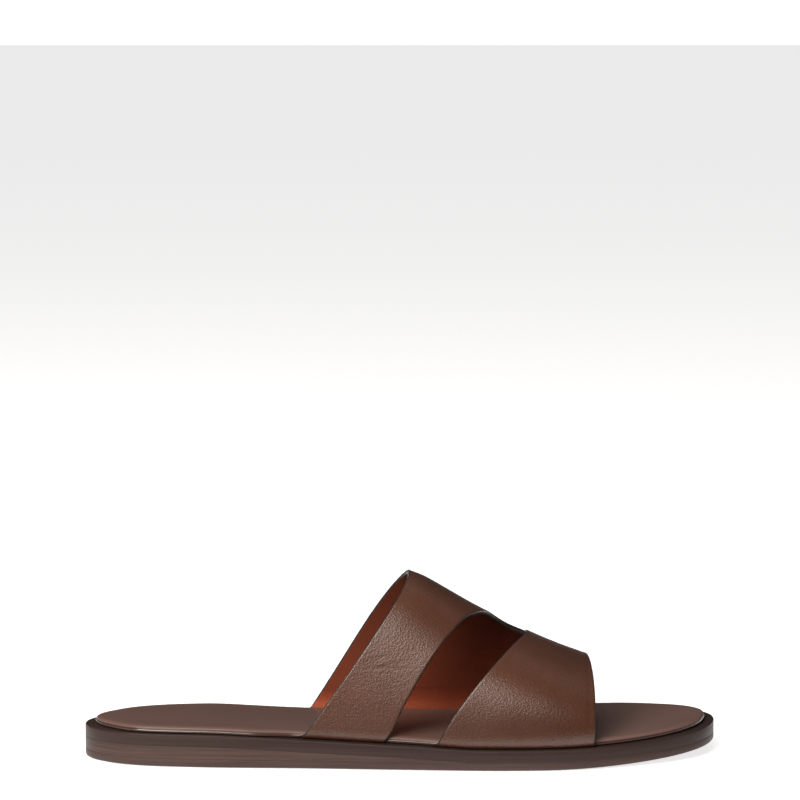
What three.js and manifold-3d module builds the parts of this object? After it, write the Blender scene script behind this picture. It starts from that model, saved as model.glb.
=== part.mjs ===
// Leather slide sandal for the right foot, open at the toe and at the heel.
// Millimetres. +X runs from heel to toe, +Y to the inner (big toe) side and +Z up.
// The origin is on the floor, under the middle of the sole.
import * as THREE from "three";
import { mergeVertices } from "three/addons/utils/BufferGeometryUtils.js";
import Module from "manifold-3d";

const wasm = await Module();
wasm.setup();

// Sole sizes
const LENGTH = 284;
const BALL_WIDTH = 97.3;
const OUTSOLE_THICK = 3.4;
const MIDSOLE_THICK = 5.3;
const HEEL_LIFT = 5.5;
const TOE_SPRING = 4.8;
const SPRING_LENGTH = 82;
const INSOLE_THICK = 2.8;
const INSOLE_ROUND = 1.6;
const INSOLE_CROWN = 0.3;
const CROWN_EDGE = 8;
const RIM_WIDTH = 4.6;
const RIM_ROUND = 0.8;
const TREAD_CHAMFER = 0.6;
const WEDGE_FEATHER = 0.5;

// Upper sizes
const UPPER_THICK = 2.2;
const MARGIN_THICK = 1.3;
const MARGIN_WIDTH = 11;
const TURN_WIDTH = 2.2;
const TURN_HEIGHT = 6.2;
const INSTEP_TOP = 82;
const VAMP_TOP = 41.8;
const REAR_TOP_X = 3.6;
const FRONT_TOP_X = 85.3;
const REAR_OUTER_X = -45;
const REAR_INNER_X = -42;
const REAR_INNER_BOW = 1.5;
const FRONT_BASE_X = 84;
const REAR_RIDGE_Y = -0.6;
const FRONT_RIDGE_Y = 4.4;
const REAR_FULLNESS = 2.7;
const FRONT_FULLNESS = 2.05;

// Space left between pieces that meet
const GAP = 0.3;

// Share of each turned-in margin's rows that the turn itself takes, and the share of the arch
// next to it over which the leather is pared down
const TURN_SHARE = 0.3;
const PARED_SHARE = 0.05;

// Mesh steps
const OUTLINE_SAMPLES = 1600;
const STATIONS = 52;
const ROUND_STEPS = 3;
const RIB_STEPS = 90;
const REAR_STRIPS = 5;
const BRIDGE_STRIPS = 7;
const FRONT_STRIPS = 8;
const SIDE_ROWS = 12;
const TOP_ROWS = 16;
const TURN_ROWS = 3;
const POCKET_STEPS = 14;

const OUTER = -1;
const INNER = 1;

// Rim of the sole seen from above, once round from the heel tip by the outer side.
// along: share of the length from the heel. across: share of the ball width from the middle.
const OUTLINE = [
  { along: 0, across: -0.035 },
  { along: 0.023, across: -0.2 },
  { along: 0.0845, across: -0.3165 },
  { along: 0.19, across: -0.376 },
  { along: 0.3415, across: -0.413 },
  { along: 0.5, across: -0.4635 },
  { along: 0.648, across: -0.5015 },
  { along: 0.754, across: -0.492 },
  { along: 0.845, across: -0.4275 },
  { along: 0.9225, across: -0.327 },
  { along: 0.9755, across: -0.191 },
  { along: 1, across: 0.02 },
  { along: 0.984, across: 0.2 },
  { along: 0.9365, across: 0.339 },
  { along: 0.859, across: 0.456 },
  { along: 0.764, across: 0.495 },
  { along: 0.6585, across: 0.446 },
  { along: 0.542, across: 0.342 },
  { along: 0.426, across: 0.2815 },
  { along: 0.306, across: 0.272 },
  { along: 0.183, across: 0.2885 },
  { along: 0.088, across: 0.238 },
  { along: 0.023, across: 0.105 },
];

// Height of the heel wedge. along: share of the length. lift: share of the heel lift.
const WEDGE = [
  { along: 0, lift: 1 },
  { along: 0.2, lift: 1 },
  { along: 0.264, lift: 0.87 },
  { along: 0.3415, lift: 0.67 },
  { along: 0.419, lift: 0.5 },
  { along: 0.5, lift: 0.32 },
  { along: 0.57, lift: 0.1 },
  { along: 0.613, lift: 0 },
  { along: 1, lift: 0 },
];

// Rim left beyond the footbed. along: share of the length. width: share of the rim width.
const RIM = [
  { along: 0, width: 1 },
  { along: 0.3415, width: 0.935 },
  { along: 0.5, width: 0.85 },
  { along: 0.648, width: 0.785 },
  { along: 0.796, width: 0.72 },
  { along: 0.87, width: 0.7 },
  { along: 0.94, width: 0.785 },
  { along: 1, width: 0.915 },
];

// Ridge of the upper from its rear edge to its front edge.
// along: share of the way. drop: share of the fall from instep top to vamp top.
const RIDGE = [
  { along: 0, drop: 0 },
  { along: 0.09, drop: 0.075 },
  { along: 0.22, drop: 0.229 },
  { along: 0.355, drop: 0.391 },
  { along: 0.52, drop: 0.57 },
  { along: 0.72, drop: 0.769 },
  { along: 0.855, drop: 0.889 },
  { along: 1, drop: 1 },
];

// The cut-out in the outer side, laid on the upper.
// along: share from rear edge to front edge. up: share of the arch from outer foot to inner foot.
const CUT_REAR = [
  { up: 0, along: 0.281 },
  { up: 0.082, along: 0.27 },
  { up: 0.187, along: 0.267 },
  { up: 0.271, along: 0.277 },
  { up: 0.335, along: 0.297 },
  { up: 0.387, along: 0.32 },
  { up: 0.43, along: 0.347 },
];
const CUT_TOP = [
  { way: 0, along: 0.347, up: 0.43 },
  { way: 0.12, along: 0.372, up: 0.461 },
  { way: 0.25, along: 0.405, up: 0.51 },
  { way: 0.38, along: 0.44, up: 0.566 },
  { way: 0.52, along: 0.49, up: 0.607 },
  { way: 0.7, along: 0.56, up: 0.636 },
  { way: 0.85, along: 0.615, up: 0.644 },
  { way: 1, along: 0.665, up: 0.646 },
];
const CUT_FRONT = [
  { up: 0, along: 0.456 },
  { up: 0.059, along: 0.461 },
  { up: 0.143, along: 0.482 },
  { up: 0.227, along: 0.517 },
  { up: 0.322, along: 0.567 },
  { up: 0.416, along: 0.614 },
  { up: 0.532, along: 0.652 },
  { up: 0.646, along: 0.665 },
];

// Smooth curve through one column of a table, flat beyond its ends
function smooth(rows, from, to, at) {
  const last = rows.length - 1;
  if (at <= rows[0][from]) {
    return rows[0][to];
  }
  if (at >= rows[last][from]) {
    return rows[last][to];
  }
  const slope = (i) => {
    const a = rows[Math.max(i - 1, 0)];
    const b = rows[Math.min(i + 1, last)];
    return (b[to] - a[to]) / (b[from] - a[from]);
  };
  const i = rows.findIndex((row) => row[from] > at) - 1;
  const step = rows[i + 1][from] - rows[i][from];
  const t = (at - rows[i][from]) / step;
  const rise = 3 * t * t - 2 * t * t * t;
  const lead = (t * t * t - 2 * t * t + t) * step * slope(i);
  const tail = (t * t * t - t * t) * step * slope(i + 1);
  return rows[i][to] * (1 - rise) + rows[i + 1][to] * rise + lead + tail;
}

const mix = (a, b, t) => a + (b - a) * t;
const shareOfLength = (x) => x / LENGTH + 0.5;

// The two sides of the rim as dense points with outward normals, from heel tip to toe tip
function traceSides() {
  const knots = OUTLINE.map((row) => new THREE.Vector3(row.along, row.across, 0));
  const points = new THREE.CatmullRomCurve3(knots, true, "centripetal").getPoints(OUTLINE_SAMPLES);
  points.pop();
  const box = new THREE.Box3().setFromPoints(points);
  const size = box.getSize(new THREE.Vector3());
  const middle = box.getCenter(new THREE.Vector3());
  for (const p of points) {
    p.set(((p.x - middle.x) / size.x) * LENGTH, ((p.y - middle.y) / size.y) * BALL_WIDTH, 0);
  }
  const count = points.length;
  const rows = points.map((p, i) => {
    const before = points[(i + count - 1) % count];
    const after = points[(i + 1) % count];
    const tangent = after.clone().sub(before).normalize();
    return { x: p.x, y: p.y, nx: tangent.y, ny: -tangent.x };
  });
  const heel = rows.reduce((best, row, i) => (row.x < rows[best].x ? i : best), 0);
  const turned = [...rows.slice(heel), ...rows.slice(0, heel)];
  const toe = turned.reduce((best, row, i) => (row.x > turned[best].x ? i : best), 0);
  const outer = turned.slice(0, toe + 1);
  const inner = [...turned.slice(toe), turned[0]].reverse();
  return { outer, inner };
}

const SIDES = traceSides();

// Point and outward normal of the rim at one x
function rimAt(side, x) {
  const rows = side === OUTER ? SIDES.outer : SIDES.inner;
  const last = rows.length - 1;
  if (x <= rows[0].x) {
    return { x: rows[0].x, y: rows[0].y, nx: -1, ny: 0 };
  }
  if (x >= rows[last].x) {
    return { x: rows[last].x, y: rows[last].y, nx: 1, ny: 0 };
  }
  const i = Math.max(1, rows.findIndex((row) => row.x >= x));
  const a = rows[i - 1];
  const b = rows[i];
  const t = (x - a.x) / Math.max(b.x - a.x, 1e-9);
  const n = new THREE.Vector2(mix(a.nx, b.nx, t), mix(a.ny, b.ny, t)).normalize();
  return { x, y: mix(a.y, b.y, t), nx: n.x, ny: n.y };
}

// y of a line that runs a given distance inside the rim
function insideRim(side, x, inset) {
  const rim = rimAt(side, x);
  return rim.y - (side * inset) / Math.abs(rim.ny);
}

// Heights of the layers
const spring = (x) => {
  const past = Math.max(0, x - (LENGTH / 2 - SPRING_LENGTH)) / SPRING_LENGTH;
  return TOE_SPRING * past * past;
};
const lift = (x) => HEEL_LIFT * Math.max(0, smooth(WEDGE, "along", "lift", shareOfLength(x)));
const outsoleTop = (x) => spring(x) + OUTSOLE_THICK;
const wedgeTop = (x) => outsoleTop(x) + lift(x);
const midsoleBottom = (x) => wedgeTop(x) + GAP;
const midsoleTop = (x) => midsoleBottom(x) + MIDSOLE_THICK;
const insoleBottom = (x) => midsoleTop(x) + GAP;
const insoleTop = (x) => insoleBottom(x) + INSOLE_THICK;
const rimWidth = (x) => RIM_WIDTH * smooth(RIM, "along", "width", shareOfLength(x));

// Where the wedge has thinned to its feather edge
function wedgeEnd() {
  let low = -LENGTH / 2;
  let high = LENGTH / 2;
  for (let i = 0; i < 40; i += 1) {
    const middle = (low + high) / 2;
    if (lift(middle) > WEDGE_FEATHER + GAP) {
      low = middle;
    } else {
      high = middle;
    }
  }
  return low;
}

// Stations from the heel tip to a given x, closest together at the tips
function stations(end = LENGTH / 2) {
  const all = [];
  for (let i = 0; i <= STATIONS; i += 1) {
    all.push((-LENGTH / 2) * Math.cos((Math.PI * i) / STATIONS));
  }
  const spacing = LENGTH / STATIONS / 2;
  const kept = all.filter((x) => x < end - spacing);
  return end < LENGTH / 2 ? [...kept, end] : all;
}

// Closed solid from rings stacked upwards. A ring gives inset(x) and height(x).
// A point of one side and the point across from it share a station.
function slab(xs, rings) {
  const last = xs.length - 1;
  const tipped = xs[last] >= LENGTH / 2 - 1e-6;
  const loop = [];
  for (let i = 0; i <= last; i += 1) {
    loop.push({ side: OUTER, x: xs[i] });
  }
  for (let i = tipped ? last - 1 : last; i > 0; i -= 1) {
    loop.push({ side: INNER, x: xs[i] });
  }
  const around = loop.length;
  const across = (i) => (i === 0 || (tipped && i === last) ? i : around - i);
  const positions = [];
  for (const ring of rings) {
    for (const { side, x } of loop) {
      const rim = rimAt(side, x);
      const inset = ring.inset(x);
      const px = rim.x - rim.nx * inset;
      const py = rim.y - rim.ny * inset;
      positions.push(px, py, ring.height(px));
    }
  }
  const faces = [];
  const triangle = (a, b, c) => {
    if (a !== b && b !== c && a !== c) {
      faces.push(a, b, c);
    }
  };
  for (let r = 0; r < rings.length - 1; r += 1) {
    for (let i = 0; i < around; i += 1) {
      const a = r * around + i;
      const b = r * around + ((i + 1) % around);
      triangle(a, b, b + around);
      triangle(a, b + around, a + around);
    }
  }
  const top = (rings.length - 1) * around;
  for (let i = 0; i < last; i += 1) {
    const [a, b, c, d] = [i, i + 1, across(i + 1), across(i)];
    triangle(a, c, b);
    triangle(a, d, c);
    triangle(top + a, top + b, top + c);
    triangle(top + a, top + c, top + d);
  }
  return solidGeometry(positions, faces);
}

function solidGeometry(positions, faces) {
  const geometry = new THREE.BufferGeometry();
  geometry.setAttribute("position", new THREE.Float32BufferAttribute(positions, 3));
  geometry.setIndex(faces);
  return geometry;
}

// Corners nearer than this are one corner
const WELD = 1e-5;

function toManifold(geometry) {
  const bare = geometry.clone();
  bare.deleteAttribute("normal");
  bare.deleteAttribute("uv");
  const merged = mergeVertices(bare, WELD);
  const mesh = new wasm.Mesh({
    numProp: 3,
    vertProperties: new Float32Array(merged.attributes.position.array),
    triVerts: new Uint32Array(merged.index.array),
  });
  return new wasm.Manifold(mesh);
}

// One solid with others taken away from it
function cut(geometry, tools) {
  let solid = toManifold(geometry);
  for (const tool of tools) {
    solid = solid.subtract(toManifold(tool));
  }
  const mesh = solid.getMesh();
  return solidGeometry(Array.from(mesh.vertProperties), Array.from(mesh.triVerts));
}

// Rib of the upper, an arch from the outer foot to the inner foot.
// It leans back with the rear edge and stands upright at the front edge.
function rib(along) {
  const ridge = {
    x: mix(REAR_TOP_X, FRONT_TOP_X, along),
    y: mix(REAR_RIDGE_Y, FRONT_RIDGE_Y, along),
    z: mix(INSTEP_TOP, VAMP_TOP, smooth(RIDGE, "along", "drop", along)),
  };
  const power = 2 / mix(REAR_FULLNESS, FRONT_FULLNESS, along);
  const foot = (side) => {
    const rear = side === OUTER ? REAR_OUTER_X : REAR_INNER_X;
    const x = mix(rear, FRONT_BASE_X, along);
    const inset = rimWidth(x) - UPPER_THICK - GAP;
    const bow = side === INNER ? mix(REAR_INNER_BOW, 0, along) : 0;
    return { side, x, y: insideRim(side, x, inset), z: insoleBottom(x), bow };
  };
  return { ridge, power, outer: foot(OUTER), inner: foot(INNER) };
}

// Point on the outside of a rib at an angle: 0 at the foot, a right angle at the ridge
function archPoint({ ridge, power }, foot, angle) {
  const height = Math.pow(Math.max(0, Math.sin(angle)), power);
  const spread = Math.pow(Math.max(0, Math.cos(angle)), power);
  const z = mix(foot.z + TURN_HEIGHT, ridge.z, height);
  return new THREE.Vector3(
    leanX(ridge, foot, z),
    mix(ridge.y, foot.y, spread),
    z,
  );
}

// x of a rib at one height: a straight lean, bowed back a little on the inner side
function leanX(ridge, foot, z) {
  const climb = (z - foot.z) / (ridge.z - foot.z);
  return mix(foot.x, ridge.x, climb) - foot.bow * Math.sin(Math.PI * climb * climb);
}

// Points along a rib with their share of its length, kept because many places ask for them
const ribCache = new Map();
function ribPoints(along) {
  const key = along.toFixed(7);
  if (ribCache.has(key)) {
    return ribCache.get(key);
  }
  const shape = rib(along);
  const points = [];
  for (let i = 0; i <= RIB_STEPS; i += 1) {
    points.push(archPoint(shape, shape.outer, ((Math.PI / 2) * i) / RIB_STEPS));
  }
  for (let i = RIB_STEPS - 1; i >= 0; i -= 1) {
    points.push(archPoint(shape, shape.inner, ((Math.PI / 2) * i) / RIB_STEPS));
  }
  const shares = [0];
  for (let i = 1; i < points.length; i += 1) {
    shares.push(shares[i - 1] + points[i].distanceTo(points[i - 1]));
  }
  const total = shares[shares.length - 1];
  const result = { shape, points, shares: shares.map((d) => d / total) };
  ribCache.set(key, result);
  return result;
}

// Outside of the upper. up: 0 to 1 over the arch, to -1 and to 2 through the turned-in margins.
function upperPoint(along, up) {
  const { shape, points, shares } = ribPoints(along);
  if (up >= 0 && up <= 1) {
    const i = Math.max(1, shares.findIndex((share) => share >= up));
    const t = (up - shares[i - 1]) / (shares[i] - shares[i - 1]);
    return points[i - 1].clone().lerp(points[i], t);
  }
  const foot = up < 0 ? shape.outer : shape.inner;
  const past = up < 0 ? -up : up - 1;
  const bend = Math.min(past / TURN_SHARE, 1);
  const run = Math.max(0, past - TURN_SHARE) / (1 - TURN_SHARE);
  const angle = (bend * Math.PI) / 2;
  const inward = TURN_WIDTH * (1 - Math.cos(angle)) + run * MARGIN_WIDTH;
  const z = foot.z + TURN_HEIGHT * (1 - Math.sin(angle));
  return new THREE.Vector3(leanX(shape.ridge, foot, z), foot.y - foot.side * inward, z);
}

// Leather thickness: full on the arch and pared down before each turn
function upperThickness(up) {
  const above = Math.min(up, 1 - up);
  return mix(MARGIN_THICK, UPPER_THICK, Math.min(Math.max(above / PARED_SHARE, 0), 1));
}

function upperNormal(along, up) {
  const d = 0.004;
  const a0 = Math.max(0, along - d);
  const a1 = Math.min(1, along + d);
  const u0 = Math.max(-1, up - d);
  const u1 = Math.min(2, up + d);
  const lengthwise = upperPoint(a1, up).sub(upperPoint(a0, up));
  const across = upperPoint(along, u1).sub(upperPoint(along, u0));
  return lengthwise.cross(across).normalize();
}

// Grid of the pattern: two straps up to the cut-out's corners, and three panels over the top
function upperPattern() {
  const vertices = [];
  const lookup = new Map();
  const vertex = (along, up) => {
    const key = `${along.toFixed(6)} ${up.toFixed(6)}`;
    if (!lookup.has(key)) {
      lookup.set(key, vertices.length);
      vertices.push({ along, up });
    }
    return lookup.get(key);
  };
  const quads = [];
  const patch = (columns, rows, place) => {
    for (let r = 0; r < rows.length - 1; r += 1) {
      for (let c = 0; c < columns; c += 1) {
        const corner = (i, j) => {
          const { along, up } = place(i / columns, rows[j]);
          return vertex(along, up);
        };
        quads.push([corner(c, r), corner(c + 1, r), corner(c + 1, r + 1), corner(c, r + 1)]);
      }
    }
  };
  const margin = [-1, -(1 + TURN_SHARE) / 2];
  for (let i = 0; i < TURN_ROWS; i += 1) {
    margin.push(-TURN_SHARE * (1 - i / TURN_ROWS));
  }
  const side = [...margin];
  for (let i = 0; i <= SIDE_ROWS; i += 1) {
    side.push(i / SIDE_ROWS);
  }
  const top = [];
  for (let i = 0; i < TOP_ROWS; i += 1) {
    top.push(i / TOP_ROWS);
  }
  for (const past of [0, ...margin.map((up) => -up).reverse()]) {
    top.push(1 + past);
  }
  const corner = { rear: CUT_TOP[0], front: CUT_TOP[CUT_TOP.length - 1] };
  const climb = (start, row) => (row > 1 ? row : mix(start, 1, row));
  patch(REAR_STRIPS, side, (across, row) => {
    const up = row < 0 ? row : row * corner.rear.up;
    return { along: across * smooth(CUT_REAR, "up", "along", up), up };
  });
  patch(FRONT_STRIPS, side, (across, row) => {
    const up = row < 0 ? row : row * corner.front.up;
    return { along: mix(smooth(CUT_FRONT, "up", "along", up), 1, across), up };
  });
  patch(REAR_STRIPS, top, (across, row) => {
    return { along: across * corner.rear.along, up: climb(corner.rear.up, row) };
  });
  patch(FRONT_STRIPS, top, (across, row) => {
    return { along: mix(corner.front.along, 1, across), up: climb(corner.front.up, row) };
  });
  patch(BRIDGE_STRIPS, top, (across, row) => {
    const edge = smooth(CUT_TOP, "way", "along", across);
    const even = mix(corner.rear.along, corner.front.along, across);
    const up = smooth(CUT_TOP, "way", "up", across);
    return { along: mix(edge, even, Math.min(row, 1)), up: climb(up, row) };
  });
  return { vertices, quads };
}

// Outside and inside of the leather joined round every cut edge
function upperGeometry() {
  const { vertices, quads } = upperPattern();
  const outside = [];
  const inside = [];
  for (const { along, up } of vertices) {
    const point = upperPoint(along, up);
    const inner = point.clone().addScaledVector(upperNormal(along, up), -upperThickness(up));
    outside.push(...point.toArray());
    inside.push(...inner.toArray());
  }
  const count = vertices.length;
  const faces = [];
  const edges = new Map();
  for (const quad of quads) {
    const [a, b, c, d] = quad;
    faces.push(a, b, c, a, c, d);
    faces.push(a + count, c + count, b + count, a + count, d + count, c + count);
    quad.forEach((from, i) => {
      const to = quad[(i + 1) % 4];
      if (edges.has(`${to} ${from}`)) {
        edges.delete(`${to} ${from}`);
      } else {
        edges.set(`${from} ${to}`, [from, to]);
      }
    });
  }
  for (const [from, to] of edges.values()) {
    faces.push(from, from + count, to + count, from, to + count, to);
  }
  return solidGeometry([...outside, ...inside], faces);
}

// Room under the footbed for one stretch of turned-in margin
function pocket(side, startX, endX) {
  const start = startX - GAP;
  const end = endX + GAP;
  const positions = [];
  for (let i = 0; i <= POCKET_STEPS; i += 1) {
    const x = mix(start, end, i / POCKET_STEPS);
    const inset = rimWidth(x);
    const outerY = insideRim(side, x, inset - UPPER_THICK);
    const reach = TURN_WIDTH + MARGIN_WIDTH - UPPER_THICK;
    const innerY = insideRim(side, x, inset) - side * reach;
    const low = midsoleBottom(x);
    const high = insoleBottom(x) + MARGIN_THICK + GAP;
    positions.push(x, outerY, low, x, innerY, low, x, innerY, high, x, outerY, high);
  }
  const faces = [];
  for (let i = 0; i < POCKET_STEPS; i += 1) {
    for (let k = 0; k < 4; k += 1) {
      const a = i * 4 + k;
      const b = i * 4 + ((k + 1) % 4);
      faces.push(a, b, b + 4, a, b + 4, a + 4);
    }
  }
  const z = POCKET_STEPS * 4;
  faces.push(0, 2, 1, 0, 3, 2, z, z + 1, z + 2, z, z + 2, z + 3);
  if (side === INNER) {
    faces.reverse();
  }
  return solidGeometry(positions, faces);
}

const constant = (value) => () => value;
const none = constant(0);

// Rings of a rounded upper edge, from the side face to the top face
function roundOver(edge, top, radius) {
  const rings = [];
  for (let i = 0; i <= ROUND_STEPS; i += 1) {
    const angle = ((Math.PI / 2) * i) / ROUND_STEPS;
    rings.push({
      inset: (x) => edge(x) + radius * (1 - Math.cos(angle)),
      height: (x) => top(x) - radius * (1 - Math.sin(angle)),
    });
  }
  return rings;
}

function outsole() {
  return slab(stations(), [
    { inset: constant(TREAD_CHAMFER), height: spring },
    { inset: none, height: (x) => spring(x) + TREAD_CHAMFER },
    { inset: none, height: outsoleTop },
  ]);
}

function heelWedge() {
  return slab(stations(wedgeEnd()), [
    { inset: none, height: (x) => outsoleTop(x) + GAP },
    { inset: none, height: wedgeTop },
  ]);
}

function midsole() {
  return slab(stations(), [
    { inset: none, height: midsoleBottom },
    ...roundOver(none, midsoleTop, RIM_ROUND),
  ]);
}

function insole() {
  const bed = slab(stations(), [
    { inset: rimWidth, height: insoleBottom },
    ...roundOver(rimWidth, insoleTop, INSOLE_ROUND),
    { inset: (x) => rimWidth(x) + CROWN_EDGE, height: (x) => insoleTop(x) + INSOLE_CROWN },
  ]);
  const footX = (rear, along) => mix(rear, FRONT_BASE_X, along);
  return cut(bed, [
    pocket(OUTER, REAR_OUTER_X, footX(REAR_OUTER_X, CUT_REAR[0].along)),
    pocket(OUTER, footX(REAR_OUTER_X, CUT_FRONT[0].along), FRONT_BASE_X),
    pocket(INNER, REAR_INNER_X, FRONT_BASE_X),
  ]);
}

const leather = (color, roughness) => {
  return new THREE.MeshStandardMaterial({ color, roughness, metalness: 0 });
};

function piece(name, geometry, material) {
  const mesh = new THREE.Mesh(geometry, material);
  mesh.name = name;
  return mesh;
}

const sandal = new THREE.Group();
sandal.add(
  piece("outsole", outsole(), leather("#3b2c28", 0.6)),
  piece("heel_wedge", heelWedge(), leather("#43322c", 0.55)),
  piece("midsole", midsole(), leather("#382a27", 0.5)),
  piece("insole", insole(), leather("#4a3830", 0.45)),
  piece("upper", upperGeometry(), leather("#56362c", 0.5)),
);

export default sandal;
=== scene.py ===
# Leather slide slipper for the right foot: five pieces, open at the toe and at the heel.
# Sizes are millimetres until make_piece turns them into metres. +X runs to the toe, +Y to the
# inner side and +Z up, with the floor at zero.
import math

import bpy
import numpy as np
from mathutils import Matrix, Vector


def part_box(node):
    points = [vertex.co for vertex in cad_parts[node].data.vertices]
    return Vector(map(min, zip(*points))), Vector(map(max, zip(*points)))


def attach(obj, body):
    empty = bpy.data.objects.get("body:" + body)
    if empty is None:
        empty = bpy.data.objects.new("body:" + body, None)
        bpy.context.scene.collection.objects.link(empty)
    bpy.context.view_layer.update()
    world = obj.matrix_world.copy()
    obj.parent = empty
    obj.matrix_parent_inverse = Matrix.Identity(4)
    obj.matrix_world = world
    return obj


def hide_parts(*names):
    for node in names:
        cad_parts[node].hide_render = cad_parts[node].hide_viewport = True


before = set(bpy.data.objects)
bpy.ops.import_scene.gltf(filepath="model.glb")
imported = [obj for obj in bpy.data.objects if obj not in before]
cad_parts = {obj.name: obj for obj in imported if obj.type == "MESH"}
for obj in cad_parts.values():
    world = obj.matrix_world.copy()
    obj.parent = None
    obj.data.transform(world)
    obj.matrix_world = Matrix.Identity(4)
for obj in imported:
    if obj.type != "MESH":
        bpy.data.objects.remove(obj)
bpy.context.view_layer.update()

MM = 0.001
OUTER = -1
INNER = 1

# Sole sizes. The footbed's middle is higher by the crown, which fades at heel and toe.
LENGTH = (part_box("midsole")[1].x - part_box("midsole")[0].x) / MM
BALL_WIDTH = (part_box("midsole")[1].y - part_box("midsole")[0].y) / MM
OUTSOLE_THICK = 3.4
MIDSOLE_THICK = 5.3
HEEL_LIFT = 5.5
TOE_SPRING = 4.8
SPRING_LENGTH = 82
INSOLE_CROWN = 0.3
CROWN_RUN = 30
RIM_WIDTH = 4.6
RIM_ROUND = 0.8
TREAD_ROUND = 0.9
SEAM_ROUND = 0.07
WEDGE_FEATHER = 0.12
GAP = 0.3

# Upper sizes
UPPER_THICK = 2.2
MARGIN_THICK = 1.3
MARGIN_WIDTH = 11
TURN_WIDTH = 2.2
TURN_HEIGHT = 6.2
INSTEP_TOP = 82
VAMP_TOP = 41.8
REAR_TOP_X = 3.6
FRONT_TOP_X = 85.3
REAR_OUTER_X = -45
REAR_INNER_X = -42
REAR_INNER_BOW = 1.5
FRONT_BASE_X = 84
REAR_RIDGE_Y = -0.6
FRONT_RIDGE_Y = 4.4
REAR_FULLNESS = 2.7
FRONT_FULLNESS = 2.05
# How far a rounded cut edge bulges, and the power that makes it blunter than a half circle
EDGE_ROUND = 0.5
EDGE_BLUNT = 0.75
# The footbed opens for a margin this far short of each corner of the strap
TUCK = 1.4
# Share of the turned part that is the bend, and share of the arch that is pared
TURN_SHARE = 0.3
PARED_SHARE = 0.05

# Usual run of the upper from rear edge to front edge, and over the arch from foot to foot
PATTERN_LENGTH = 110
PATTERN_GIRTH = 165

# Mesh steps
OUTLINE_SAMPLES = 4000
STATIONS = 170
FILL_COLUMNS = 22
RIB_SAMPLES = 261
ARCH_STEPS = 240
REAR_STRIPS = 44
BRIDGE_STRIPS = 60
FRONT_STRIPS = 68
SIDE_ROWS = 104
TOP_ROWS = 122
TURN_ROWS = 12
MARGIN_ROWS = 4
EDGE_STEPS = 6
ROUND_STEPS = 4
SEAM_STEPS = 2

# Rim of the sole seen from above, once round from the heel tip by the outer side.
# along: share of the length from the heel. across: share of the ball width from the middle.
OUTLINE = {
    "along": (0, 0.023, 0.0845, 0.19, 0.3415, 0.5, 0.648, 0.754, 0.845, 0.9225, 0.9755, 1,
              0.984, 0.9365, 0.859, 0.764, 0.6585, 0.542, 0.426, 0.306, 0.183, 0.088, 0.023),
    "across": (-0.035, -0.2, -0.3165, -0.376, -0.413, -0.4635, -0.5015, -0.492, -0.4275, -0.327,
               -0.191, 0.02, 0.2, 0.339, 0.456, 0.495, 0.446, 0.342, 0.2815, 0.272, 0.2885,
               0.238, 0.105),
}

# Height of the heel wedge: share of the length, share of the heel lift
WEDGE = {
    "along": (0, 0.2, 0.264, 0.3415, 0.419, 0.5, 0.57, 0.613, 1),
    "lift": (1, 1, 0.87, 0.67, 0.5, 0.32, 0.1, 0, 0),
}

# Side of the heel wedge from underneath to the top. inset: millimetres. rise: share of its height.
WEDGE_SIDE = {
    "inset": (SEAM_ROUND, 0, 0, 0, SEAM_ROUND),
    "rise": (0, 0.06, 0.5, 0.94, 1),
}

# Rim left beyond the footbed: share of the length, share of the rim width
RIM = {
    "along": (0, 0.3415, 0.5, 0.648, 0.796, 0.87, 0.94, 1),
    "width": (1, 0.935, 0.85, 0.785, 0.72, 0.7, 0.785, 0.915),
}

# Ridge of the upper: share of the way to its front edge, share of the fall to the vamp top
RIDGE = {
    "along": (0, 0.09, 0.22, 0.355, 0.52, 0.72, 0.855, 1),
    "drop": (0, 0.075, 0.229, 0.391, 0.57, 0.769, 0.889, 1),
}

# The cut-out in the outer side, laid on the upper.
# along: share from rear edge to front edge. up: share of the arch from outer foot to inner foot.
CUT_REAR = {
    "up": (0, 0.082, 0.187, 0.271, 0.335, 0.387, 0.43),
    "along": (0.281, 0.27, 0.267, 0.277, 0.297, 0.32, 0.347),
}
CUT_TOP = {
    "way": (0, 0.12, 0.25, 0.38, 0.52, 0.7, 0.85, 1),
    "along": (0.347, 0.372, 0.405, 0.44, 0.49, 0.56, 0.615, 0.665),
    "up": (0.43, 0.461, 0.51, 0.566, 0.607, 0.636, 0.644, 0.646),
}
CUT_FRONT = {
    "up": (0, 0.059, 0.143, 0.227, 0.322, 0.416, 0.532, 0.646),
    "along": (0.456, 0.461, 0.482, 0.517, 0.567, 0.614, 0.652, 0.665),
}

# Footbed edge from underneath to the top. inwards: millimetres inside the footbed's edge.
# up: millimetres above its underside. It is a glossy bead, a crease and a soft roll.
BEAD = {
    "inwards": (1.0, 0.45, 0.12, 0.0, 0.1, 0.38, 0.6, 0.5, 0.52, 0.72, 1.15, 1.9, 3.0, 4.8, 8.0),
    "up": (0.02, 0.06, 0.32, 0.8, 1.25, 1.56, 1.6, 1.76, 2.1, 2.42, 2.7, 2.9, 3.02, 3.08, 3.1),
}
# At the outer side of the heel the bead reaches this much further over the rim. It grows over the
# heel run from the heel tip, and fades over it towards the rear strap.
BEAD_SPREAD = 3.0
HEEL_RUN = 26
# Towards the toe the bead fades into an even roll: x where it is gone, length of the fade, how far
# the roll leans in at the top, its first ring and how far inwards its rings lie
BEAD_FADE_END = 60
BEAD_FADE_RUN = 80
ROLL_LEAN = 0.95
ROLL_FROM = 3
ROLL_WITHIN = 1.1
# Bands of faces, counted from the margin's underside, that are the bead
BEAD_FACES = slice(2, 9)
# Opening under the footbed for a margin: run of its inner slope, and half the run of its ends
POCKET_SLOPE = 0.4
POCKET_STEP = 0.03

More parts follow.
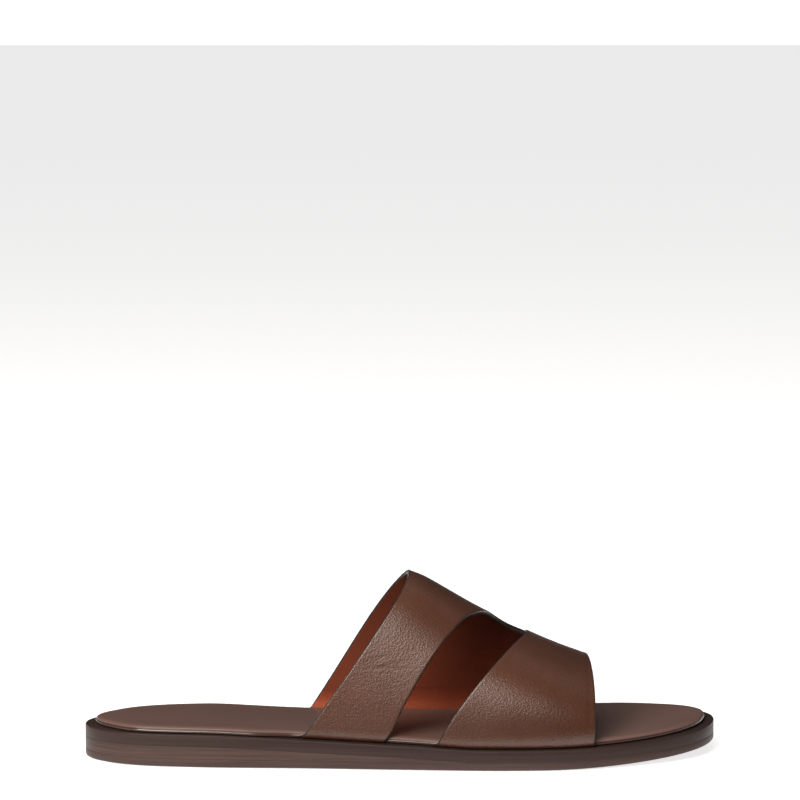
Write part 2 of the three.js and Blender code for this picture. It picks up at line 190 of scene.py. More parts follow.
# Soft creases of the leather, laid on the upper as on the pattern.
# turn: degrees from the rear to front direction. length, width and depth: millimetres.
CREASES = {
    "along": (0.06, 0.1, 0.13, 0.08, 0.155, 0.045, 0.12, 0.17),
    "up": (0.186, 0.176, 0.19, 0.203, 0.182, 0.196, 0.163, 0.205),
    "turn": (12, 8, 16, 20, 4, 28, 10, 14),
    "length": (9, 13, 10, 8, 9, 6, 8, 7),
    "width": (0.9, 1.0, 0.8, 0.9, 0.8, 0.8, 0.9, 0.8),
    "depth": (0.07, 0.09, 0.06, 0.06, 0.06, 0.05, 0.05, 0.04),
}
# A crease winds by a share of its width, and has a raised lip at a number of widths beside it
CREASE_WINDING = 1.3
CREASE_SWAY = 0.25
CREASE_LIP = 0.45
CREASE_LIP_OFFSET = 1.6

# Crease pressed along the front edge
FRONT_CREASE_INSET = 3.2
FRONT_CREASE_WIDTH = 0.7
FRONT_CREASE_DEPTH = 0.12


def smooth(table, start, value, at):
    """Cubic curve through one column of a table, flat beyond its ends."""
    xs = np.array(table[start], float)
    ys = np.array(table[value], float)
    slopes = np.empty(len(xs))
    slopes[1:-1] = (ys[2:] - ys[:-2]) / (xs[2:] - xs[:-2])
    slopes[0] = (ys[1] - ys[0]) / (xs[1] - xs[0])
    slopes[-1] = (ys[-1] - ys[-2]) / (xs[-1] - xs[-2])
    at = np.clip(np.asarray(at, float), xs[0], xs[-1])
    i = np.clip(np.searchsorted(xs, at, side="right") - 1, 0, len(xs) - 2)
    step = xs[i + 1] - xs[i]
    t = (at - xs[i]) / step
    rise = 3 * t**2 - 2 * t**3
    lead = (t**3 - 2 * t**2 + t) * step * slopes[i]
    tail = (t**3 - t**2) * step * slopes[i + 1]
    return ys[i] * (1 - rise) + ys[i + 1] * rise + lead + tail


def mix(a, b, t):
    return a + (b - a) * t


def unit(vectors):
    return vectors / np.maximum(np.linalg.norm(vectors, axis=-1, keepdims=True), 1e-12)


def trace_sides():
    """The rim as two dense lines of x, y and outward normal, each from heel tip to toe tip."""
    knots = np.stack([OUTLINE["along"], OUTLINE["across"]], axis=1)
    count = len(knots)
    way = np.arange(OUTLINE_SAMPLES) * count / OUTLINE_SAMPLES
    i = way.astype(int)
    t = (way - i)[:, None]
    p0, p1, p2, p3 = (knots[(i + k) % count] for k in (-1, 0, 1, 2))
    d0, d1, d2 = (np.sqrt(np.linalg.norm(b - a, axis=1))[:, None]
                  for a, b in ((p0, p1), (p1, p2), (p2, p3)))
    leave = ((p1 - p0) / d0 - (p2 - p0) / (d0 + d1) + (p2 - p1) / d1) * d1
    reach = ((p2 - p1) / d1 - (p3 - p1) / (d1 + d2) + (p3 - p2) / d2) * d1
    points = (p1 + leave * t + (3 * (p2 - p1) - 2 * leave - reach) * t**2
              + (2 * (p1 - p2) + leave + reach) * t**3)
    low, high = points.min(axis=0), points.max(axis=0)
    points = (points - (low + high) / 2) / (high - low) * (LENGTH, BALL_WIDTH)
    tangents = unit(np.roll(points, -1, axis=0) - np.roll(points, 1, axis=0))
    rows = np.column_stack([points, tangents[:, 1], -tangents[:, 0]])
    rows = np.roll(rows, -int(np.argmin(points[:, 0])), axis=0)
    toe = int(np.argmax(rows[:, 0]))
    return {OUTER: rows[: toe + 1], INNER: np.vstack([rows[toe:], rows[:1]])[::-1]}


SIDES = trace_sides()


def rim_at(side, x):
    """x, y and outward normal of the rim on one side."""
    rows = SIDES[side]
    x = np.clip(x, rows[0, 0], rows[-1, 0])
    y = np.interp(x, rows[:, 0], rows[:, 1])
    normal = unit(np.stack([np.interp(x, rows[:, 0], rows[:, k]) for k in (2, 3)], axis=-1))
    return x, y, normal[..., 0], normal[..., 1]


def inside_rim(side, x, inset):
    x, y, _, ny = rim_at(side, x)
    return y - side * inset / np.abs(ny)


# Heights of the layers
def spring(x):
    past = np.maximum(0, x - (LENGTH / 2 - SPRING_LENGTH)) / SPRING_LENGTH
    return TOE_SPRING * past**2


def lift(x):
    return HEEL_LIFT * np.maximum(0, smooth(WEDGE, "along", "lift", x / LENGTH + 0.5))


def outsole_top(x):
    return spring(x) + OUTSOLE_THICK


def midsole_bottom(x):
    return outsole_top(x) + lift(x) + GAP


def midsole_top(x):
    return midsole_bottom(x) + MIDSOLE_THICK


def insole_bottom(x):
    return midsole_top(x) + GAP


def rim_width(x):
    return RIM_WIDTH * smooth(RIM, "along", "width", x / LENGTH + 0.5)


def wedge_end():
    """Where the wedge has thinned to its feather edge."""
    xs = np.linspace(-LENGTH / 2, LENGTH / 2, OUTLINE_SAMPLES)
    return xs[lift(xs) > WEDGE_FEATHER].max()


def stations(end=LENGTH / 2, extra=()):
    """Stations from the heel tip to an end, closest together at the tips."""
    xs = -LENGTH / 2 * np.cos(np.pi * np.arange(STATIONS + 1) / STATIONS)
    xs = [x for x in xs if x < end - LENGTH / STATIONS / 4 or end >= LENGTH / 2]
    if end < LENGTH / 2:
        xs.append(end)
    return np.array(sorted([*xs, *extra]))


def slab(xs, rings, low, high):
    """Closed mesh of rings stacked round the rim, filled underneath and on top.

    A ring is a pair of functions of x and side: the inset from the rim and the height.
    low and high give the height of the filling from x and the share across.
    """
    last = len(xs) - 1
    tipped = xs[-1] >= LENGTH / 2 - 1e-6
    turn = last - 1 if tipped else last
    way = [(OUTER, i) for i in range(last + 1)] + [(INNER, i) for i in range(turn, 0, -1)]
    sides = np.array([side for side, _ in way])
    x = xs[[i for _, i in way]]
    rim = np.array([rim_at(side, at) for side, at in zip(sides, x)])
    around = len(way)
    layers = []
    for inset, height in rings:
        inwards = inset(x, sides)
        px = rim[:, 0] - rim[:, 2] * inwards
        py = rim[:, 1] - rim[:, 3] * inwards
        layers.append(np.column_stack([px, py, height(px, sides)]))
    vertices = list(np.concatenate(layers))
    faces = []
    for r in range(len(rings) - 1):
        for i in range(around):
            a, b = r * around + i, r * around + (i + 1) % around
            faces.append((a, b, b + around, a + around))

    def fill(base, height, upward):
        rows = []
        for i in range(last + 1):
            a = base + i
            b = a if i == 0 or (tipped and i == last) else base + around - i
            if a == b:
                rows.append([a] * (FILL_COLUMNS + 1))
                continue
            row = [a]
            for k in range(1, FILL_COLUMNS):
                share = k / FILL_COLUMNS
                p = mix(vertices[a], vertices[b], share)
                vertices.append(np.array([p[0], p[1], height(p[0], share)]))
                row.append(len(vertices) - 1)
            rows.append([*row, b])
        for near, far in zip(rows, rows[1:]):
            for k in range(FILL_COLUMNS):
                corners = (near[k], far[k], far[k + 1], near[k + 1])
                face = tuple(dict.fromkeys(corners))
                faces.append(face if upward else face[::-1])

    fill(0, low, False)
    fill((len(rings) - 1) * around, high, True)
    return np.array(vertices), faces, around


def make_piece(name, vertices, faces, materials, slots=None, layout=None):
    """A smooth shaded object in metres. slots gives each face's material, layout its UVs."""
    mesh = bpy.data.meshes.new(name)
    mesh.from_pydata((np.asarray(vertices) * MM).tolist(), [], faces)
    for material in materials:
        mesh.materials.append(material)
    if slots is not None:
        mesh.polygons.foreach_set("material_index", slots)
    mesh.polygons.foreach_set("use_smooth", np.ones(len(faces), bool))
    if layout is not None:
        corners = np.empty(len(mesh.loops), np.int32)
        mesh.loops.foreach_get("vertex_index", corners)
        uv = mesh.uv_layers.new(name="pattern")
        uv.data.foreach_set("uv", (layout[corners] * MM).ravel())
    mesh.validate()
    mesh.update()
    piece = bpy.data.objects.new(name, mesh)
    bpy.context.scene.collection.objects.link(piece)
    return piece


def level(value):
    """Inset of a ring that is the same all round."""
    return lambda x, _: np.full(np.shape(x), float(value))


def quarter_ring(face, radius, steps, upper=True):
    """Rings of a rounded edge, from side to face on top or from face to side underneath."""
    rings = []
    for i in range(steps + 1):
        angle = math.pi / 2 * (i / steps if upper else 1 - i / steps)
        inwards = radius * (1 - math.cos(angle))
        drop = radius * (1 - math.sin(angle)) * (-1 if upper else 1)
        rings.append((level(inwards), lambda x, _, drop=drop: face(x) + drop))
    return rings


# How far each layer reaches into the gap that the solids leave, just short of its middle
SEAM_CLEARANCE = 0.005
SEAM = GAP / 2 - SEAM_CLEARANCE


def outsole_mesh():
    def top(x):
        return outsole_top(x) + SEAM

    rings = quarter_ring(spring, TREAD_ROUND, ROUND_STEPS, upper=False)
    rings += quarter_ring(top, SEAM_ROUND, SEAM_STEPS)
    vertices, faces, _ = slab(stations(), rings, lambda x, _: spring(x), lambda x, _: top(x))
    return vertices, faces


def wedge_mesh():
    def bottom(x):
        return outsole_top(x) + GAP - SEAM

    def top(x):
        return np.maximum(bottom(x) + WEDGE_FEATHER / 2, outsole_top(x) + lift(x) + SEAM)

    def ring(inset, rise):
        return level(inset), lambda x, _: mix(bottom(x), top(x), rise)

    rings = [ring(inset, rise) for inset, rise in zip(WEDGE_SIDE["inset"], WEDGE_SIDE["rise"])]
    xs = stations(wedge_end())
    vertices, faces, _ = slab(xs, rings, lambda x, _: bottom(x), lambda x, _: top(x))
    return vertices, faces


def midsole_mesh():
    def bottom(x):
        return midsole_bottom(x) - SEAM

    rings = quarter_ring(bottom, SEAM_ROUND, SEAM_STEPS, upper=False)
    rings += [(level(0), lambda x, _: midsole_bottom(x) + MIDSOLE_THICK / 2)]
    rings += quarter_ring(midsole_top, RIM_ROUND, ROUND_STEPS)
    vertices, faces, _ = slab(stations(), rings, lambda x, _: bottom(x), lambda x, _: midsole_top(x))
    return vertices, faces


def margin_spans():
    """Where the upper's margins pass under the footbed, from x to x on each side."""
    def foot_x(rear, along):
        return mix(rear, FRONT_BASE_X, along)

    return [
        (OUTER, REAR_OUTER_X + TUCK, foot_x(REAR_OUTER_X, CUT_REAR["along"][0]) - TUCK),
        (OUTER, foot_x(REAR_OUTER_X, CUT_FRONT["along"][0]) + TUCK, FRONT_BASE_X - TUCK),
        (INNER, REAR_INNER_X + TUCK, FRONT_BASE_X - TUCK),
    ]


def insole_mesh():
    spans = margin_spans()
    reach = TURN_WIDTH + MARGIN_WIDTH - UPPER_THICK + GAP
    room = MARGIN_THICK + 2 * GAP
    top_height = BEAD["up"][-1]

    def raised(x, sides):
        over = np.zeros(np.shape(x), bool)
        for side, start, end in spans:
            over |= (sides == side) & (x >= start) & (x <= end)
        return np.where(over, room, 0.0)

    def bead_fade(x):
        return np.clip((BEAD_FADE_END - x) / BEAD_FADE_RUN, 0, 1)

    def heel_side(x):
        rise = np.clip((x + LENGTH / 2) / HEEL_RUN, 0, 1)
        fall = np.clip((REAR_OUTER_X - x) / HEEL_RUN, 0, 1)
        return np.sin(rise * np.pi / 2) ** 2 * np.sin(fall * np.pi / 2) ** 2

    def edge(k):
        inwards, up = BEAD["inwards"][k], BEAD["up"][k]
        rolled = k >= ROLL_FROM and inwards < ROLL_WITHIN
        toe_inwards = ROLL_LEAN * (up / top_height) ** 3 if rolled else inwards

        def inset(x, sides):
            soft = mix(toe_inwards, inwards, bead_fade(x))
            spread = np.where(sides == OUTER, BEAD_SPREAD * heel_side(x), 0)
            return rim_width(x) + soft - spread * max(0, 1 - inwards / BEAD["inwards"][-1])

        def height(x, sides):
            return insole_bottom(x) - SEAM + mix(raised(x, sides), top_height, up / top_height)

        return inset, height

    def under(inset, lifted):
        def height(x, sides):
            return insole_bottom(x) - SEAM + lifted * raised(x, sides)

        return (lambda x, _: rim_width(x) + inset), height

    rings = [under(reach + POCKET_SLOPE, 0), under(reach, 1)]
    rings += [edge(k) for k in range(len(BEAD["up"]))]

    def top(x, share):
        tip = np.clip((LENGTH / 2 - RIM_WIDTH - BEAD["inwards"][-1] - abs(x)) / CROWN_RUN, 0, 1)
        crown = INSOLE_CROWN * tip * (2 - tip)
        return insole_bottom(x) - SEAM + top_height + crown * 4 * share * (1 - share)

    ends = [x + d for _, a, b in spans for x in (a, b) for d in (-POCKET_STEP, POCKET_STEP)]
    vertices, faces, around = slab(stations(extra=ends), rings,
                                   lambda x, _: insole_bottom(x) - SEAM, top)
    slots = np.zeros(len(faces), np.int32)
    slots[BEAD_FACES.start * around : BEAD_FACES.stop * around] = 1
    return vertices, faces, slots


def lean_x(ridge, foot, z):
    """x of a rib at one height: a straight lean, bowed back a little on the inner side."""
    climb = (z - foot["z"]) / (ridge["z"] - foot["z"])
    return mix(foot["x"], ridge["x"], climb) - foot["bow"] * np.sin(np.pi * climb**2)


def rib_table():
    """Outside of the upper as a dense grid: rows from rear edge to front edge, columns from
    the outer margin over the arch to the inner margin."""
    along = np.linspace(0, 1, RIB_SAMPLES)[:, None]
    drop = smooth(RIDGE, "along", "drop", along)
    ridge = {
        "x": mix(REAR_TOP_X, FRONT_TOP_X, along),
        "y": mix(REAR_RIDGE_Y, FRONT_RIDGE_Y, along),
        "z": mix(INSTEP_TOP, VAMP_TOP, drop),
    }
    power = 2 / mix(REAR_FULLNESS, FRONT_FULLNESS, along)

    def foot(side):
        x = mix(REAR_OUTER_X if side == OUTER else REAR_INNER_X, FRONT_BASE_X, along)
        y = inside_rim(side, x, rim_width(x) - UPPER_THICK - GAP)
        bow = REAR_INNER_BOW * (1 - along) if side == INNER else 0 * along
        return {"x": x, "y": y, "z": insole_bottom(x), "bow": bow}

    def half_arch(side):
        base = foot(side)
        angle = np.linspace(0, np.pi / 2, ARCH_STEPS + 1)[None, :]
        z = mix(base["z"] + TURN_HEIGHT, ridge["z"], np.sin(angle) ** power)
        y = mix(ridge["y"], base["y"], np.maximum(np.cos(angle), 0) ** power)
        return np.stack([lean_x(ridge, base, z), y, z], axis=-1)

    def turned(side):
        base = foot(side)
        past = np.linspace(0, 1, ARCH_STEPS // 2 + 1)[None, 1:]
        angle = np.minimum(past / TURN_SHARE, 1) * np.pi / 2
        run = np.maximum(0, past - TURN_SHARE) / (1 - TURN_SHARE)
        inward = TURN_WIDTH * (1 - np.cos(angle)) + run * MARGIN_WIDTH
        z = base["z"] + TURN_HEIGHT * (1 - np.sin(angle))
        return np.stack([lean_x(ridge, base, z), base["y"] - side * inward, z + 0 * along], axis=-1)

    arch = np.concatenate([half_arch(OUTER), half_arch(INNER)[:, -2::-1]], axis=1)
    steps = np.linalg.norm(np.diff(arch, axis=1), axis=2)
    shares = np.concatenate([np.zeros((RIB_SAMPLES, 1)), np.cumsum(steps, axis=1)], axis=1)
    shares /= shares[:, -1:]
    up = np.linspace(0, 1, 2 * ARCH_STEPS + 1)
    even = np.empty((RIB_SAMPLES, len(up), 3))
    for row in range(RIB_SAMPLES):
        for k in range(3):
            even[row, :, k] = np.interp(up, shares[row], arch[row, :, k])
    points = np.concatenate([turned(OUTER)[:, ::-1], even, turned(INNER)], axis=1)
    tail = np.linspace(0, 1, ARCH_STEPS // 2 + 1)[1:]
    ups = np.concatenate([-tail[::-1], up, 1 + tail])
    return along[:, 0], ups, points


def sample(table, along, up):
    """Value of a grid over (along, up) at scattered places."""
    alongs, ups, values = table
    a = np.clip(along, 0, 1) * (len(alongs) - 1)
    i = np.clip(a.astype(int), 0, len(alongs) - 2)
    s = (a - i)[:, None]
    j = np.clip(np.searchsorted(ups, up, side="right") - 1, 0, len(ups) - 2)
    t = ((up - ups[j]) / (ups[j + 1] - ups[j]))[:, None]
    near = mix(values[i, j], values[i, j + 1], t)
    far = mix(values[i + 1, j], values[i + 1, j + 1], t)
    return mix(near, far, s)


def upper_pattern():
    """Grid of the pattern: two straps up to the cut-out's corners, and three panels on top.
    Each row is pulled back from its cut edge by what the rounded edge then adds."""
    pull = EDGE_ROUND / PATTERN_LENGTH
    raise_up = EDGE_ROUND / PATTERN_GIRTH
    index, places, quads = {}, [], []

    def vertex(along, up):
        key = (round(float(along), 6), round(float(up), 6))
        if key not in index:
            index[key] = len(places)
            places.append(key)
        return index[key]

    def patch(columns, rows, place):
        grid = [[vertex(*place(c / columns, row)) for c in range(columns + 1)] for row in rows]
        for low, high in zip(grid, grid[1:]):
            for c in range(columns):
                quads.append((low[c], low[c + 1], high[c + 1], high[c]))

    margin = [mix(-1, -TURN_SHARE, k / MARGIN_ROWS) for k in range(MARGIN_ROWS)]
    margin += [-TURN_SHARE * (1 - k / TURN_ROWS) for k in range(TURN_ROWS)]
    side = margin + [k / SIDE_ROWS for k in range(SIDE_ROWS + 1)]
    top = [k / TOP_ROWS for k in range(TOP_ROWS)] + [1] + [1 - m for m in reversed(margin)]
    rear_along = CUT_TOP["along"][0] - pull
    front_along = CUT_TOP["along"][-1] + pull
    rear_up, front_up = CUT_TOP["up"][0], CUT_TOP["up"][-1]

    def climb(start, row):
        return row if row > 1 else mix(start, 1, row)

    def rear_side(across, row):
        up = row if row < 0 else row * rear_up
        edge = float(smooth(CUT_REAR, "up", "along", up)) - pull
        return mix(pull, edge, across), up

    def front_side(across, row):
        up = row if row < 0 else row * front_up
        edge = float(smooth(CUT_FRONT, "up", "along", up)) + pull
        return mix(edge, 1 - pull, across), up

    def bridge(across, row):
        edge = float(smooth(CUT_TOP, "way", "along", across))
        edge += mix(-pull, pull, across)
        even = mix(rear_along, front_along, across)
        lowest = float(smooth(CUT_TOP, "way", "up", across))
        lowest += raise_up * math.sin(math.pi * across) ** 0.5
        return mix(edge, even, min(row, 1)), climb(lowest, row)

    patch(REAR_STRIPS, side, rear_side)
    patch(FRONT_STRIPS, side, front_side)
    patch(REAR_STRIPS, top, lambda across, row: (mix(pull, rear_along, across), climb(rear_up, row)))
    patch(FRONT_STRIPS, top,
          lambda across, row: (mix(front_along, 1 - pull, across), climb(front_up, row)))
    patch(BRIDGE_STRIPS, top, bridge)
    return np.array(places), quads


def pressed(along, up):
    """How far the surface is pushed in at each place of the pattern, in millimetres."""
    depth = np.zeros(len(along))
    for row in zip(*CREASES.values()):
        at, high, turn, length, width, deep = row
        dx = (along - at) * PATTERN_LENGTH
        dy = (up - high) * PATTERN_GIRTH
        angle = math.radians(turn)
        run = dx * math.cos(angle) + dy * math.sin(angle)
        off = -dx * math.sin(angle) + dy * math.cos(angle)
        off = off - CREASE_SWAY * width * np.sin(run * CREASE_WINDING)
        lip = np.exp(-(((off - CREASE_LIP_OFFSET * width) / width) ** 2))
        shape = np.exp(-((off / width) ** 2)) - CREASE_LIP * lip
        depth += deep * shape * np.exp(-((2 * run / length) ** 2))
    inset = (1 - along) * PATTERN_LENGTH - FRONT_CREASE_INSET
    depth += FRONT_CREASE_DEPTH * np.exp(-((inset / FRONT_CREASE_WIDTH) ** 2))
    return depth


def upper_mesh():
    """Outside, inside and rounded cut edges, with each face's material and each point's place."""
    alongs, ups, points = rib_table()
    lengthwise = np.gradient(points, alongs, axis=0)
    across = np.gradient(points, ups, axis=1)
    normals = unit(np.cross(lengthwise, across))
    places, quads = upper_pattern()
    along, up = places[:, 0], places[:, 1]
    surface = sample((alongs, ups, points), along, up)
    normal = unit(sample((alongs, ups, normals), along, up))
    above = np.clip(np.minimum(up, 1 - up) / PARED_SHARE, 0, 1)
    thick = mix(MARGIN_THICK, UPPER_THICK, above)[:, None]
    outside = surface - normal * pressed(along, up)[:, None]
    inside = surface - normal * thick
    count = len(places)
    faces = list(quads) + [tuple(v + count for v in quad[::-1]) for quad in quads]
    slots = [0] * len(quads) + [2] * len(quads)

    edges = {}
    for quad in quads:
        for k in range(4):
            pair = (quad[k], quad[(k + 1) % 4])
            if pair[::-1] in edges:
                del edges[pair[::-1]]
            else:
                edges[pair] = True
    outward = {}
    for a, b in edges:
        away = np.cross(surface[b] - surface[a], normal[a] + normal[b])
        away /= np.linalg.norm(away)
        for v in (a, b):
            outward[v] = outward.get(v, 0) + away
    vertices = [*outside, *inside]
    layout = np.column_stack([along * PATTERN_LENGTH, up * PATTERN_GIRTH])
    layout = [*layout, *layout]
    rounds = {}
    for v, away in outward.items():
        away = away / np.linalg.norm(away)
        middle = (outside[v] + inside[v]) / 2
        half = (outside[v] - inside[v]) / 2
        row = [v]
        for k in range(1, EDGE_STEPS):
            angle = math.pi * k / EDGE_STEPS
            lean = math.copysign(abs(math.cos(angle)) ** EDGE_BLUNT, math.cos(angle))
            bulge = EDGE_ROUND * math.sin(angle) ** EDGE_BLUNT
            vertices.append(middle + half * lean + away * bulge)
            layout.append(layout[v])
            row.append(len(vertices) - 1)
        rounds[v] = [*row, v + count]
    for a, b in edges:
        for k in range(EDGE_STEPS):
            faces.append((rounds[a][k], rounds[a][k + 1], rounds[b][k + 1], rounds[b][k]))
            slots.append(1)
    return np.array(vertices), faces, slots, np.array(layout)


class Graph:
    """Node tree of one material, with short calls for the nodes used here."""

    def __init__(self, name):
        self.material = bpy.data.materials.new(name)
        self.material.use_nodes = True
        self.tree = self.material.node_tree
        self.shader = self.tree.nodes["Principled BSDF"]
        self.coords = self.tree.nodes.new("ShaderNodeTexCoord")

    def add(self, kind, settings=None, **inputs):
        node = self.tree.nodes.new(kind)
        for key, value in (settings or {}).items():
            setattr(node, key, value)
        for key, value in inputs.items():
            self.put(node.inputs[key.replace("_", " ")], value)
        return node

    def put(self, socket, value):
        if isinstance(value, bpy.types.NodeSocket):
            self.tree.links.new(value, socket)
        else:
            socket.default_value = value

    def stretched(self, x, y, z, source="Object"):
        """Coordinates in metres times a scale for each axis."""
        node = self.add("ShaderNodeMapping", Vector=self.coords.outputs[source])
        node.inputs["Scale"].default_value = (x, y, z)
        return node.outputs["Vector"]

    def noise(self, vector, scale, detail=3, roughness=0.5, distortion=0):
        node = self.add("ShaderNodeTexNoise", Vector=vector, Scale=scale, Detail=detail,
                        Roughness=roughness, Distortion=distortion)
        return node.outputs["Fac"]

    def cells(self, vector, scale):
        return self.add("ShaderNodeTexVoronoi", Vector=vector, Scale=scale).outputs["Distance"]

    def span(self, value, low, high, to_low=0.0, to_high=1.0):
        node = self.add("ShaderNodeMapRange", Value=value)
        for key, number in zip(("From Min", "From Max", "To Min", "To Max"),
                               (low, high, to_low, to_high)):
            node.inputs[key].default_value = number
        return node.outputs["Result"]

    def sums(self, operation, a, b):
        node = self.add("ShaderNodeMath", {"operation": operation})
        self.put(node.inputs[0], a)
        self.put(node.inputs[1], b)
        return node.outputs[0]

    def blend(self, share, a, b):
        """Colour mixed from a to b."""
        node = self.add("ShaderNodeMix", {"data_type": "RGBA"})
        self.put(node.inputs[0], share)
        self.put(node.inputs[6], a if isinstance(a, bpy.types.NodeSocket) else (*a, 1))
        self.put(node.inputs[7], b if isinstance(b, bpy.types.NodeSocket) else (*b, 1))
        return node.outputs[2]

    def bump(self, height, distance, strength=1.0, under=None):
        node = self.add("ShaderNodeBump", Height=height, Distance=distance * MM,
                        Strength=strength)
        if under is not None:
            self.put(node.inputs["Normal"], under)
        return node.outputs["Normal"]

    def finish(self, color, roughness, normal, **numbers):
        self.put(self.shader.inputs["Base Color"], color)
        self.put(self.shader.inputs["Roughness"], roughness)
        self.put(self.shader.inputs["Normal"], normal)
        for key, value in numbers.items():
            self.shader.inputs[key.replace("_", " ")].default_value = value
        return self.material


def grain_leather():
    """Smooth calf with a fine grain, faint wrinkles and a soft sheen, with painted shade near the
    sole.
    """
    g = Graph("grain_leather")
    object_space = g.coords.outputs["Object"]
    pebble = g.cells(object_space, 1150)
    fine = g.noise(object_space, 1900, 2, 0.6)
    tone = g.noise(object_space, 60, 3, 0.55)
    speckle = g.noise(object_space, 750, 2, 0.6)
    wrinkles = g.noise(g.stretched(900, 330, 1, "UV"), 1, 3, 0.6, 1.2)
    patches = g.span(g.noise(object_space, 45, 2), 0.4, 0.6)
    color = g.blend(g.span(tone, 0.3, 0.7), (0.076, 0.023, 0.009), (0.093, 0.03, 0.012))
    color = g.blend(g.sums("MULTIPLY", g.span(speckle, 0.45, 0.75), 0.25), color, (0.13, 0.055, 0.026))
    height = g.add("ShaderNodeSeparateXYZ", Vector=object_space).outputs["Z"]
    # Painted shade: the leather turns darker towards the sole, standing in for the dim band low on the
    # straps.
    color = g.blend(g.span(height, 0.019, 0.034, 0.45, 0), color, (0.04, 0.013, 0.006))
    roughness = g.span(fine, 0.3, 0.7, 0.31, 0.41)
    wrinkled = g.sums("MULTIPLY", wrinkles, patches)
    normal = g.bump(wrinkled, 0.055, 0.7)
    normal = g.bump(pebble, 0.09, 0.8, normal)
    normal = g.bump(fine, 0.05, 0.8, normal)
    return g.finish(color, roughness, normal, Specular_IOR_Level=0.75)


def painted_edge():
    """Dark painted and polished cut edge."""
    g = Graph("painted_edge")
    uneven = g.noise(g.coords.outputs["Object"], 420, 3, 0.5)
    color = g.blend(g.span(uneven, 0.35, 0.65), (0.018, 0.015, 0.012), (0.034, 0.03, 0.024))
    normal = g.bump(uneven, 0.1, 0.4)
    return g.finish(color, g.span(uneven, 0.3, 0.7, 0.28, 0.42), normal,
                    Specular_IOR_Level=0.25)


def lining_leather():
    """Matt tan red lining with a short nap, with painted light near the footbed and painted shade
    towards the top.
    """
    g = Graph("lining_leather")
    object_space = g.coords.outputs["Object"]
    nap = g.noise(object_space, 1800, 3, 0.65)
    cloud = g.noise(object_space, 70, 3, 0.6)
    height = g.add("ShaderNodeSeparateXYZ", Vector=object_space).outputs["Z"]
    # Painted shade: the lining turns darker towards the top, where the inside lies in the shade of the
    # straps.
    painted_shade_top = g.span(height, 0.022, 0.065)
    color = g.blend(g.span(cloud, 0.3, 0.7), (0.18, 0.037, 0.016), (0.22, 0.048, 0.021))
    color = g.blend(painted_shade_top, color, (0.095, 0.02, 0.008))
    # Painted light: a bright band just above the footbed, where light comes in through the openings.
    color = g.blend(g.span(height, 0.017, 0.023, 1, 0), color, (0.38, 0.083, 0.036))
    color = g.blend(g.sums("MULTIPLY", g.span(nap, 0.45, 0.75), 0.35), color, (0.14, 0.028, 0.011))
    normal = g.bump(nap, 0.14, 0.6)
    return g.finish(color, 0.75, normal, Specular_IOR_Level=0.2)


def footbed_leather():
    """Smooth polished footbed."""
    g = Graph("footbed_leather")
    object_space = g.coords.outputs["Object"]
    fine = g.noise(object_space, 2400, 2, 0.55)
    cloud = g.noise(g.stretched(14, 30, 30), 1, 3, 0.55)
    color = g.blend(g.span(cloud, 0.3, 0.7), (0.142, 0.082, 0.067), (0.166, 0.099, 0.082))
    normal = g.bump(fine, 0.02, 0.4)
    return g.finish(color, g.span(cloud, 0.3, 0.7, 0.36, 0.42), normal, Specular_IOR_Level=0.35)


def footbed_bead():
    """Polished bead round the footbed's edge."""
    g = Graph("footbed_bead")
    cloud = g.noise(g.coords.outputs["Object"], 160, 2, 0.5)
    color = g.blend(cloud, (0.05, 0.024, 0.019), (0.075, 0.04, 0.031))
    normal = g.bump(cloud, 0.05, 0.3)
    return g.finish(color, g.span(cloud, 0.3, 0.7, 0.16, 0.26), normal, Coat_Weight=0.7,
                    Coat_Roughness=0.08)


# Streaks of a sole edge against its light tone
STREAK_GAIN = 1.9


def stack_leather(name, dark, light, streak):
    """Burnished sole edge: fine level streaks of pressed leather."""
    g = Graph(name)
    streaks = g.noise(g.stretched(16, 16, 900), 1, 4, 0.6, 0.15)
    broad = g.noise(g.stretched(9, 9, 260), 1, 3, 0.5)
    fine = g.noise(g.coords.outputs["Object"], 1600, 2, 0.5)
    share = g.sums("MULTIPLY", g.span(streaks, 0.35, 0.7), streak)
    color = g.blend(g.span(broad, 0.3, 0.7), dark, light)
    color = g.blend(share, color, tuple(c * STREAK_GAIN for c in light))
    normal = g.bump(streaks, 0.08, 0.35)
    normal = g.bump(fine, 0.02, 0.4, normal)
    return g.finish(color, g.span(streaks, 0.3, 0.7, 0.36, 0.5), normal,
                    Specular_IOR_Level=0.16)


def dress(piece, slot):
    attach(piece, "root")
    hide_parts(slot)


def build_shoe():
    outsole = stack_leather("outsole_edge", (0.042, 0.026, 0.023), (0.052, 0.033, 0.029), 0.45)
    wedge = stack_leather("wedge_edge", (0.039, 0.025, 0.021), (0.052, 0.032, 0.027), 0.6)
    midsole = stack_leather("midsole_edge", (0.026, 0.016, 0.014), (0.036, 0.022, 0.019), 0.3)
    dress(make_piece("outsole_layer", *outsole_mesh(), [outsole]), "outsole")
    dress(make_piece("wedge_stack", *wedge_mesh(), [wedge]), "heel_wedge")
    dress(make_piece("midsole_layer", *midsole_mesh(), [midsole]), "midsole")
    vertices, faces, slots = insole_mesh()
    bed = [footbed_leather(), footbed_bead()]
    dress(make_piece("footbed", vertices, faces, bed, slots), "insole")
    vertices, faces, slots, layout = upper_mesh()
    skins = [grain_leather(), painted_edge(), lining_leather()]
    dress(make_piece("upper_leather", vertices, faces, skins, slots, layout), "upper")


# Camera, from the photograph: where the frame's target falls in its 800 pixels
PIXELS = 800
TARGET_HEIGHT = 0.020
TARGET_PIXEL = (401, 706)
PIXELS_PER_METRE = 2206
CAMERA_DISTANCE = 1.6
CAMERA_ELEVATION = math.radians(11)
CAMERA_AZIMUTH = math.radians(-2)
SENSOR_WIDTH = 36
VIEW_END = 100


